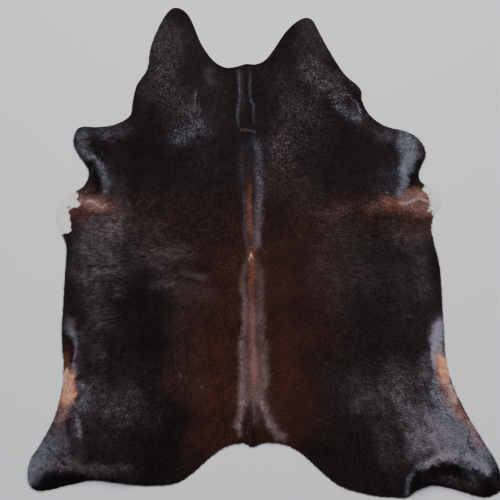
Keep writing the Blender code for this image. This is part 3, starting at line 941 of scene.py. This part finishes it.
def dressed(on):
    """All that the coat's material reads, by the names it reads them under."""
    off_spine = smooth_step((np.abs(on[0][:, 0] - SPINE_MARK_X) - SPINE_MARK) / SPINE_MARK_FADE)
    return {"tint": paint(on), "bloom": bloom(on), "white": strongest(on, WHITE),
            "rows": strongest(on, ROWS) * off_spine, "sparkle": strongest(on, SPARKLE),
            "sleek": strongest(on, SLEEK)}


sheet_coat = dressed(sheet_canvas)
print("white share:", round(float((sheet_coat["white"] > 0.5).mean()), 4))

# %% [markdown]
# ## The sheet
#
# The haired side stands one skin and one coat above the underside, and rounds off to
# bare leather at the cut. The suede side lies on the floor. A strip of quads between
# the two outlines is the cut edge. All three are one closed mesh with three materials,
# because the real thing is one piece too.

# %% Build the sheet
UNDER_LOCKS = 0.55          # share of the coat's depth that is surface, with the locks above
COAT_WAVES = ((0.0005, 0.030, 3), (0.0006, 0.080, 4))     # strength, size, seed
SHARP = math.radians(60.0)  # edges sharper than this stay crisp
KINDS = {1: ("FLOAT", "value"), 3: ("FLOAT_VECTOR", "vector"), 4: ("FLOAT_COLOR", "color")}


def coat_top():
    """Height of the coat's surface at each point."""
    rounded = np.sqrt(np.clip(coat_in / BEVEL, 0.0, 1.0))
    return coat_low + SKIN + rounded * (UNDER_LOCKS * COAT + layered(coat_xy, COAT_WAVES))


def store(mesh, name, values, used, extra=0):
    """A named value for each used point of a mesh, and zeros for some extra points."""
    values = np.concatenate((values[used], np.zeros((extra,) + values.shape[1:])))
    kind, key = KINDS[values.shape[1] if values.ndim == 2 else 1]
    layer = mesh.attributes.new(name, kind, "POINT")
    layer.data.foreach_set(key, np.ascontiguousarray(values, dtype=np.float32).ravel())


def mesh_from(name, points, faces):
    """A smooth-shaded mesh of these points and faces."""
    mesh = bpy.data.meshes.new(name)
    mesh.from_pydata(points.tolist(), [], faces)
    mesh.shade_smooth()
    return mesh


def placed(name, data):
    """An object for a mesh, light or camera, in the scene."""
    made = bpy.data.objects.new(name, data)
    bpy.context.scene.collection.objects.link(made)
    return made


top = np.column_stack((coat_xy, coat_top()))
bottom = np.column_stack((suede_xy, suede_low))
ring = np.arange(len(rim))
bottom[ring, 2] = coat_low[ring]
after = np.roll(ring, -1)
under = len(top)
walls = np.column_stack((ring + under, after + under, after, ring))
sheet_faces = coat_faces.tolist() + (suede_faces[:, ::-1] + under).tolist() + walls.tolist()
sheet_mesh = mesh_from("hide_sheet", np.vstack((top, bottom)), sheet_faces)
material_of = np.repeat((0, 1, 2), (len(coat_faces), len(suede_faces), len(walls))).astype(np.int32)
sheet_mesh.polygons.foreach_set("material_index", material_of)
for name, values in sheet_coat.items():
    store(sheet_mesh, name, values, np.arange(len(top)), len(bottom))
hide_sheet = placed("hide_sheet", sheet_mesh)
sheet_mesh.set_sharp_from_angle(angle=SHARP)
print("sheet:", len(sheet_mesh.polygons), "faces")

# %% [markdown]
# ## Node helpers
#
# Node trees are long to write by hand. A few small helpers keep them short: one adds a
# node and plugs its inputs, one does arithmetic, and others mix, ramp or bump.

# %% Node helpers
def pick(sockets, name):
    """The enabled socket of that name, or the socket of that number."""
    if isinstance(name, int):
        return sockets[name]
    return next(s for s in sockets if s.name == name and s.enabled)


def plug(tree, node, inputs):
    """Link each value to the node's socket, or set it if it is a plain number or colour."""
    for name, value in inputs.items():
        socket = pick(node.inputs, name)
        if isinstance(value, bpy.types.NodeSocket):
            tree.links.new(value, socket)
        else:
            socket.default_value = value


def add(tree, kind, inputs=None, **settings):
    """A new node with these settings and inputs."""
    node = tree.nodes.new(kind)
    for key, value in settings.items():
        setattr(node, key, value)
    plug(tree, node, inputs or {})
    return node


def new_material(name):
    """A new material, its tree and its shader."""
    material = bpy.data.materials.new(name)
    material.use_nodes = True
    return material, material.node_tree, material.node_tree.nodes["Principled BSDF"]


def maths(tree, operation, a, b=0.0, c=0.0, clamp=False):
    """One step of arithmetic."""
    return add(tree, "ShaderNodeMath", {0: a, 1: b, 2: c}, operation=operation, use_clamp=clamp).outputs[0]


def mixed(tree, share, a, b, blend="MIX"):
    """A colour, from a where share is 0 to b where it is 1."""
    return add(tree, "ShaderNodeMix", {0: share, 6: a, 7: b}, data_type="RGBA", blend_type=blend).outputs[2]


def blended(tree, share, a, b):
    """A number, from a where share is 0 to b where it is 1."""
    return add(tree, "ShaderNodeMix", {0: share, 2: a, 3: b}, data_type="FLOAT").outputs[0]


def attribute(tree, name, output="Fac"):
    """A value that is stored in the mesh."""
    return add(tree, "ShaderNodeAttribute", attribute_name=name).outputs[output]


def noise(tree, scale, stretch=(1.0, 1.0, 1.0), detail=2.0):
    """Noise over the piece's own metres, longer along an axis with a small stretch."""
    where = add(tree, "ShaderNodeTexCoord").outputs["Object"]
    mapping = add(tree, "ShaderNodeMapping", {"Scale": stretch, "Vector": where})
    return add(tree, "ShaderNodeTexNoise", {"Scale": scale, "Detail": detail,
                                            "Vector": mapping.outputs[0]}).outputs["Fac"]


def ramp(tree, value, low, high):
    """value, from 0 at low to 1 at high."""
    return add(tree, "ShaderNodeMapRange", {"From Min": low, "From Max": high, "Value": value},
               interpolation_type="SMOOTHSTEP").outputs[0]


def bump(tree, height, distance, strength):
    """A surface roughened by height."""
    return add(tree, "ShaderNodeBump", {"Distance": distance, "Strength": strength,
                                        "Height": height}).outputs[0]


print("node helpers ready")

# %% [markdown]
# ## The coat's material
#
# Locks and the surface under them share one colour recipe. It starts from the stored
# tint and makes some locks lighter and some darker. Then come the bright locks of the
# painted sheen and the pale hair, and last the white patches. Which locks are bright is
# decided by a number that is half chance and half a noise: in rows where the coat lies
# in rows, in tufts elsewhere.
# The surface under the locks has a fine noise in place of the locks' own numbers, and
# is darker, because it lies in the shade of the hair.

# %% Coat materials
CREAM = (0.90, 0.86, 0.80, 1.0)
DULL_CREAM = (0.78, 0.74, 0.68, 1.0)
PINK_GLOSS = (1.0, 0.82, 0.84, 1.0)
ROW_SCALE, ROW_STRETCH = 120.0, (0.34, 1.5, 1.0)     # crosswise, so longer along X
ROWS_FROM_TO = (0.30, 0.70)     # the row noise that is dark, and that is light
TUFTS_FROM_TO = (0.33, 0.67)    # the same for tufts
FLASH_FROM_TO = (1.05, 1.60)    # in rough places few locks pass this
FLASH = 4.8                     # but they flash, as painted glints
WHITE_FROM_TO = (0.84, 0.90)    # where the border of a white patch runs
UNDERCOAT_SHADE = 0.7           # how light the surface is under the locks


def lock_level(tree, own, grain, sleek):
    """How light or dark each lock is: few are light, and where it is sleek they differ less."""
    level = maths(tree, "MULTIPLY", maths(tree, "POWER", own, 4.0), 3.0)
    level = maths(tree, "MULTIPLY_ADD", grain, 0.80, level)
    return blended(tree, maths(tree, "MULTIPLY", sleek, 0.6), level, 1.0)


def lock_catch(tree, own, grain, sleek):
    """How much of the painted sheen and pale hair each lock takes: most locks a little, or a few locks in
    painted glints.
    """
    even = maths(tree, "MULTIPLY_ADD", grain, 1.4, 0.30)
    even = maths(tree, "MULTIPLY", even, maths(tree, "MULTIPLY_ADD", own, 1.5, 0.25))
    even = blended(tree, sleek, even, 1.0)
    flash = maths(tree, "MULTIPLY_ADD", own, 1.2, maths(tree, "MULTIPLY", grain, 0.6))
    flash = maths(tree, "MULTIPLY", ramp(tree, flash, *FLASH_FROM_TO), FLASH)
    return blended(tree, attribute(tree, "sparkle"), even, flash)


def white_share(tree, own):
    """1 on the white patches and 0 elsewhere, with a torn border."""
    torn = maths(tree, "MULTIPLY_ADD", own, 0.20, attribute(tree, "white"))
    torn = maths(tree, "MULTIPLY_ADD", noise(tree, 85.0), 0.60, torn)
    return ramp(tree, torn, *WHITE_FROM_TO)


def coat_recipe(tree, own, tuft, shade):
    """The coat's colour, from each lock's two numbers and an overall shade."""
    rows = ramp(tree, noise(tree, ROW_SCALE, ROW_STRETCH, 3.0), *ROWS_FROM_TO)
    grain = blended(tree, attribute(tree, "rows"), ramp(tree, tuft, *TUFTS_FROM_TO), rows)
    sleek = attribute(tree, "sleek")
    level = maths(tree, "MULTIPLY", lock_level(tree, own, grain, sleek), shade)
    grey = add(tree, "ShaderNodeCombineColor", {0: level, 1: level, 2: level}).outputs[0]
    colour = mixed(tree, 1.0, attribute(tree, "tint", "Color"), grey, "MULTIPLY")
    # the bright locks, with painted sheen and pale hair
    bright = maths(tree, "MULTIPLY", lock_catch(tree, own, grain, sleek),
                   attribute(tree, "bloom", "Alpha"), clamp=True)
    bright = maths(tree, "MULTIPLY", bright, shade)
    colour = mixed(tree, bright, colour, attribute(tree, "bloom", "Color"))
    return mixed(tree, white_share(tree, own), colour, mixed(tree, own, CREAM, DULL_CREAM))


def lock_material():
    """The hair, coloured lock by lock."""
    material, tree, shader = new_material("cow_hair")
    colour = coat_recipe(tree, attribute(tree, "tone"), attribute(tree, "tuft"), 1.0)
    plug(tree, shader, {"Base Color": colour, "Roughness": 0.42, "Specular IOR Level": 0.09,
                        "Specular Tint": PINK_GLOSS})
    return material


def undercoat_material():
    """The surface between the locks, in the shade of the hair."""
    material, tree, shader = new_material("undercoat")
    own = noise(tree, 420.0, (1.0, 0.35, 1.0))
    colour = coat_recipe(tree, own, noise(tree, 180.0), UNDERCOAT_SHADE)
    plug(tree, shader, {"Base Color": colour, "Roughness": 0.62, "Specular IOR Level": 0.08,
                        "Normal": bump(tree, own, 0.0012, 0.5)})
    return material


hair_material = lock_material()
print("coat materials:", hair_material.name)

# %% [markdown]
# ## Suede and the cut edge
#
# The flesh side of a hide is a dry, pale suede with short nap, faint blotches and
# the trace of veins. The knife leaves the edge lighter, almost cream, with loose fibres.

# %% Suede and cut edge
SUEDE = (0.56, 0.47, 0.36, 1.0)
PALE_SUEDE = (0.66, 0.58, 0.47, 1.0)
NAP_SHADE = (0.44, 0.35, 0.26, 1.0)
VEIN_BROWN = (0.40, 0.31, 0.23, 1.0)
VEIN_STRENGTH = 0.18
EDGE_CREAM = (0.72, 0.62, 0.49, 1.0)
EDGE_FIBRE = (0.50, 0.38, 0.27, 1.0)


def vein_share(tree):
    """A faint net of veins: near 1 along them and 0 beside them."""
    where = add(tree, "ShaderNodeVectorMath", {
        0: add(tree, "ShaderNodeTexCoord").outputs["Object"],
        1: maths(tree, "MULTIPLY", noise(tree, 5.0), 0.25)}, operation="ADD")
    net = add(tree, "ShaderNodeTexVoronoi", {"Scale": 11.0, "Vector": where.outputs[0]},
              feature="DISTANCE_TO_EDGE")
    beside = ramp(tree, net.outputs["Distance"], 0.0, 0.05)
    return maths(tree, "MULTIPLY_ADD", beside, -VEIN_STRENGTH, VEIN_STRENGTH)


def suede_material():
    """The dry flesh side."""
    material, tree, shader = new_material("suede")
    nap = noise(tree, 900.0, (1.0, 0.6, 1.0), 3.0)
    blotch = noise(tree, 7.0, (1.0, 0.7, 1.0), 4.0)
    colour = mixed(tree, ramp(tree, blotch, 0.35, 0.70), SUEDE, PALE_SUEDE)
    colour = mixed(tree, maths(tree, "MULTIPLY", nap, 0.35), colour, NAP_SHADE)
    colour = mixed(tree, vein_share(tree), colour, VEIN_BROWN)
    plug(tree, shader, {"Base Color": colour, "Roughness": 0.94, "Specular IOR Level": 0.15,
                        "Normal": bump(tree, nap, 0.0006, 0.5)})
    return material


def cut_edge_material():
    """The knife's cut through the leather."""
    material, tree, shader = new_material("cut_edge")
    fibres = noise(tree, 700.0, (1.0, 1.0, 3.0), 3.0)
    plug(tree, shader, {"Base Color": mixed(tree, fibres, EDGE_CREAM, EDGE_FIBRE), "Roughness": 0.85,
                        "Normal": bump(tree, fibres, 0.0006, 0.6)})
    return material


for finish in (undercoat_material(), suede_material(), cut_edge_material()):
    hide_sheet.data.materials.append(finish)
print("sheet materials:", [m.name for m in hide_sheet.data.materials])

# %% [markdown]
# ## One lock of hair
#
# At rug distance the eye doesn't see hairs but small pointed locks. A lock here is two
# triangles: a ridge from root to tip, and a side falling away to the left and to the
# right. It is one unit long and one unit wide, so its real size is an input of the tree.

# %% The lock
def unit_lock():
    """A pointed tent along +X, from its root at the origin to its tip at x = 1."""
    corners = ((0.0, 0.0, 0.0), (0.32, 0.5, -0.5), (0.32, -0.5, -0.5), (1.0, 0.0, 0.0))
    mesh = bpy.data.meshes.new("unit_lock")
    mesh.from_pydata(corners, [], ((0, 3, 1), (0, 2, 3)))
    return placed("unit_lock", mesh)


lock = unit_lock()
print("one lock has", len(lock.data.polygons), "triangles")

# %% [markdown]
# ## Planting the locks
#
# Some hundred thousand locks on a curved skin are a job for Geometry Nodes. The tree
# scatters points, turns each lock from the skin's normal and the stored flow, tips it
# up a little, and gives it a random turn, size and tone. Neighbours share part of their
# turn through a noise, which is what makes hair fall into tufts.

# %% The planting tree
PLANTING = (
    # the tree's inputs: name, kind, value
    ("Lock", "Object", None),
    ("Hair", "Material", None),
    ("Locks per m2", "Float", float(LOCKS_PER_M2)),
    ("Length", "Float", 0.0100),
    ("Width", "Float", 0.0020),
    ("Height", "Float", 0.0007),
    ("Lift", "Float", math.radians(8.0)),
    ("Stray", "Float", math.radians(10.0)),
    ("Tuft turn", "Float", math.radians(32.0)),
    ("Tuft size", "Float", 0.024),
    ("Grain size", "Float", 0.0055),
    ("Seed", "Int", SEED),
)
LIFT_SHARES = (-1.6, -0.4)      # of the lift, and below zero because that tips the lock up
LENGTH_SHARES = (0.65, 1.25)
WIDTH_SHARES = (0.6, 1.4)


def planting_tree():
    """The tree that turns a field of triangles into locks of hair."""
    tree = bpy.data.node_groups.new("plant_locks", "GeometryNodeTree")
    face = tree.interface
    face.new_socket("Geometry", in_out="INPUT", socket_type="NodeSocketGeometry")
    for name, kind, value in PLANTING:
        socket = face.new_socket(name, in_out="INPUT", socket_type="NodeSocket" + kind)
        if value is not None:
            socket.default_value = value
    face.new_socket("Geometry", in_out="OUTPUT", socket_type="NodeSocketGeometry")
    given = add(tree, "NodeGroupInput").outputs

    def times(a, b):
        return maths(tree, "MULTIPLY", a, b)

    def random(low, high, shift):
        seed = maths(tree, "ADD", given["Seed"], shift)
        node = add(tree, "FunctionNodeRandomValue", {"Min": low, "Max": high, "Seed": seed},
                   data_type="FLOAT")
        return pick(node.outputs, "Value")

    def bumps(size, detail):
        place = add(tree, "GeometryNodeInputPosition").outputs[0]
        scale = maths(tree, "DIVIDE", 1.0, size)
        node = add(tree, "ShaderNodeTexNoise", {"Scale": scale, "Detail": detail, "Vector": place})
        return node.outputs["Fac"]

    def storing(geometry, name, value):
        node = add(tree, "GeometryNodeStoreNamedAttribute", {
            "Geometry": geometry, "Name": name, "Value": value}, data_type="FLOAT", domain="INSTANCE")
        return node.outputs[0]

    scatter = add(tree, "GeometryNodeDistributePointsOnFaces", {
        "Mesh": given["Geometry"], "Density": given["Locks per m2"], "Seed": given["Seed"]},
        distribute_method="RANDOM")
    flow = add(tree, "GeometryNodeInputNamedAttribute", {"Name": "flow"}, data_type="FLOAT_VECTOR")
    facing = add(tree, "FunctionNodeAxesToRotation", {
        0: scatter.outputs["Normal"], 1: pick(flow.outputs, "Attribute")},
        primary_axis="Z", secondary_axis="X")
    shared = times(maths(tree, "SUBTRACT", bumps(given["Tuft size"], 1.0), 0.5), 2.0)
    stray = random(times(given["Stray"], -1.0), given["Stray"], 1)
    angles = add(tree, "ShaderNodeCombineXYZ", {
        1: times(given["Lift"], random(*LIFT_SHARES, 2)),
        2: maths(tree, "ADD", times(shared, given["Tuft turn"]), stray)})
    laid = add(tree, "FunctionNodeEulerToRotation", {0: angles.outputs[0]})
    turned = add(tree, "FunctionNodeRotateRotation", {0: facing.outputs[0], 1: laid.outputs[0]},
                 rotation_space="LOCAL")
    size = add(tree, "ShaderNodeCombineXYZ", {
        0: times(given["Length"], random(*LENGTH_SHARES, 3)),
        1: times(given["Width"], random(*WIDTH_SHARES, 4)),
        2: given["Height"]})
    tent = add(tree, "GeometryNodeObjectInfo", {"Object": given["Lock"]}, transform_space="ORIGINAL")
    plant = add(tree, "GeometryNodeInstanceOnPoints", {
        "Points": scatter.outputs["Points"], "Instance": tent.outputs["Geometry"],
        "Rotation": turned.outputs[0], "Scale": size.outputs[0]})
    toned = storing(plant.outputs["Instances"], "tone", random(0.0, 1.0, 5))
    tufted = storing(toned, "tuft", bumps(given["Grain size"], 2.0))
    real = add(tree, "GeometryNodeRealizeInstances", {0: tufted})
    hair = add(tree, "GeometryNodeSetMaterial", {"Geometry": real.outputs[0], "Material": given["Hair"]})
    add(tree, "NodeGroupOutput", {0: hair.outputs[0]})
    return tree


plant_locks = planting_tree()
print("planting tree:", len(plant_locks.nodes), "nodes")

# %% [markdown]
# ## Five fields of hair
#
# One mesh of all the locks would be too large to handle, so the hide is planted in five
# fields: neck, two sides and two hind parts. Each field takes the coat's triangles whose
# middle lies in it, with the tint, flow and other stored values, and the locks replace
# those triangles.

# %% Plant the fields
FIELD_Y = 0.40              # the sides lie between this far before and behind the middle
SEED_STEP = 20              # between the seeds of two fields


def field_names(middle):
    """The field that each triangle belongs to, by its middle on the animal."""
    x, y = middle[:, 0], middle[:, 1]
    names = np.full(len(middle), "hair_neck", dtype=object)
    names[(y <= FIELD_Y) & (x <= 0.0)] = "hair_left_side"
    names[(y <= FIELD_Y) & (x > 0.0)] = "hair_right_side"
    names[(y <= -FIELD_Y) & (x <= 0.0)] = "hair_left_hind"
    names[(y <= -FIELD_Y) & (x > 0.0)] = "hair_right_hind"
    return names


def bake_map(mesh):
    """A map for later baking: the plan of the piece, fitted to the unit square."""
    places = np.empty(len(mesh.vertices) * 3, dtype=np.float32)
    mesh.vertices.foreach_get("co", places)
    places = places.reshape(-1, 3)[:, :2]
    corners = np.empty(len(mesh.loops), dtype=np.int32)
    mesh.loops.foreach_get("vertex_index", corners)
    low, high = places.min(axis=0), places.max(axis=0)
    plan = (places[corners] - low) / (high - low)
    mesh.uv_layers.new(name="OFBake").uv.foreach_set("vector", plan.astype(np.float32).ravel())


def planted(name, chosen, seed):
    """The locks of one field as a plain mesh object."""
    used, faces = np.unique(field_faces[chosen], return_inverse=True)
    mesh = mesh_from(name, field_top[used], faces.reshape(-1, 3).tolist())
    for key, values in field_coat.items():
        store(mesh, key, values, used)
    field = placed(name, mesh)
    modifier = field.modifiers.new("plant", "NODES")
    modifier.node_group = plant_locks
    ids = {s.name: s.identifier for s in plant_locks.interface.items_tree if s.in_out == "INPUT"}
    modifier[ids["Lock"]] = lock
    modifier[ids["Hair"]] = hair_material
    modifier[ids["Seed"]] = seed
    whole = field.evaluated_get(bpy.context.evaluated_depsgraph_get())
    hair = bpy.data.meshes.new_from_object(whole)
    field.modifiers.clear()
    field.data = hair
    bpy.data.meshes.remove(mesh)
    bake_map(hair)
    return field


field_xy, field_faces, _ = fill(FIELD_STEP, CLEAR)
field_canvas = canvas(field_xy)
field_coat = dressed(field_canvas)
field_coat["flow"] = hair_flow(field_canvas)
haired_side = BVHTree.FromPolygons(top.tolist(), coat_faces.tolist())
field_top = np.column_stack((field_xy, height_of(haired_side, field_xy)))
names = field_names(field_canvas[0][field_faces].mean(axis=1))
hair_fields = []
for number, name in enumerate(sorted(set(names))):
    field = planted(name, names == name, SEED + SEED_STEP * number)
    hair_fields.append(field)
    print(name, len(field.data.polygons), "triangles")
bpy.data.objects.remove(lock)

# %% [markdown]
# ## Floor, light and camera
#
# The rug lies on a plain pale floor under soft studio light. A large softbox stands
# beyond the neck, so the ridges of the coat, and the places of its painted sheen, face it.
# The camera stands where the photo was taken: above the rug, a little towards the tail,
# with a 61 mm lens.

# %% Stage
FLOOR_SIZE = 14.0
FLOOR_WHITE = (0.77, 0.77, 0.79, 1.0)
SKY = (0.86, 0.90, 1.0, 1.0)
SKY_STRENGTH = 0.45
SOFTBOXES = (
    # name, place, width and height, watts
    ("beyond_the_neck", (0.3, 3.6, 3.2), (3.6, 2.0), 120.0),
    ("overhead", (0.0, 0.2, 5.2), (4.5, 4.5), 150.0),
)
CAMERA_AT = (0.0313, -1.3433, 3.506)
CAMERA_LENS = 60.7          # millimetres, as the sensor is
CAMERA_SENSOR = 36.0
CAMERA_TILT = math.radians(19.51)     # from straight down, towards the neck
CAMERA_HEADING = math.radians(3.03)   # turned to the left in plan
CAMERA_ROLL = math.radians(-4.36)


def studio_floor():
    """A plain pale square."""
    mesh = bpy.data.meshes.new("studio_floor")
    half = 0.5 * FLOOR_SIZE
    mesh.from_pydata([(-half, -half, 0), (half, -half, 0), (half, half, 0), (-half, half, 0)],
                     [], [(0, 1, 2, 3)])
    material, tree, shader = new_material("pale_floor")
    plug(tree, shader, {"Base Color": FLOOR_WHITE, "Roughness": 0.9})
    mesh.materials.append(material)
    return placed("studio_floor", mesh)


def softbox(name, at, size, watts):
    """A large soft lamp that faces the middle of the rug."""
    light = bpy.data.lights.new(name, "AREA")
    light.shape = "RECTANGLE"
    light.size, light.size_y = size
    light.energy = watts
    lamp = placed(name, light)
    lamp.location = at
    lamp.rotation_euler = (Vector() - Vector(at)).to_track_quat("-Z", "Y").to_euler()


def photo_camera():
    """The camera at the photograph's viewing angle."""
    camera = bpy.data.cameras.new("camera")
    camera.lens = CAMERA_LENS
    camera.sensor_width = CAMERA_SENSOR
    holder = placed("camera", camera)
    turn = (Matrix.Rotation(CAMERA_HEADING, 4, "Z") @ Matrix.Rotation(CAMERA_TILT, 4, "X")
            @ Matrix.Rotation(CAMERA_ROLL, 4, "Z"))
    holder.matrix_world = Matrix.Translation(CAMERA_AT) @ turn
    return holder


studio_floor()
for box in SOFTBOXES:
    softbox(*box)
world = bpy.data.worlds.new("studio")
world.use_nodes = True
plug(world.node_tree, world.node_tree.nodes["Background"], {"Color": SKY, "Strength": SKY_STRENGTH})
bpy.context.scene.world = world
bpy.context.scene.camera = photo_camera()
print("camera at", CAMERA_AT)

# %% [markdown]
# ## Handing over
#
# Every piece rides on the one body of the part. The sheet stands for the solid in the
# frame, and the solid is hidden.

# %% Hand over
for piece in [hide_sheet] + hair_fields:
    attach(piece, "root")
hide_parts("hide")
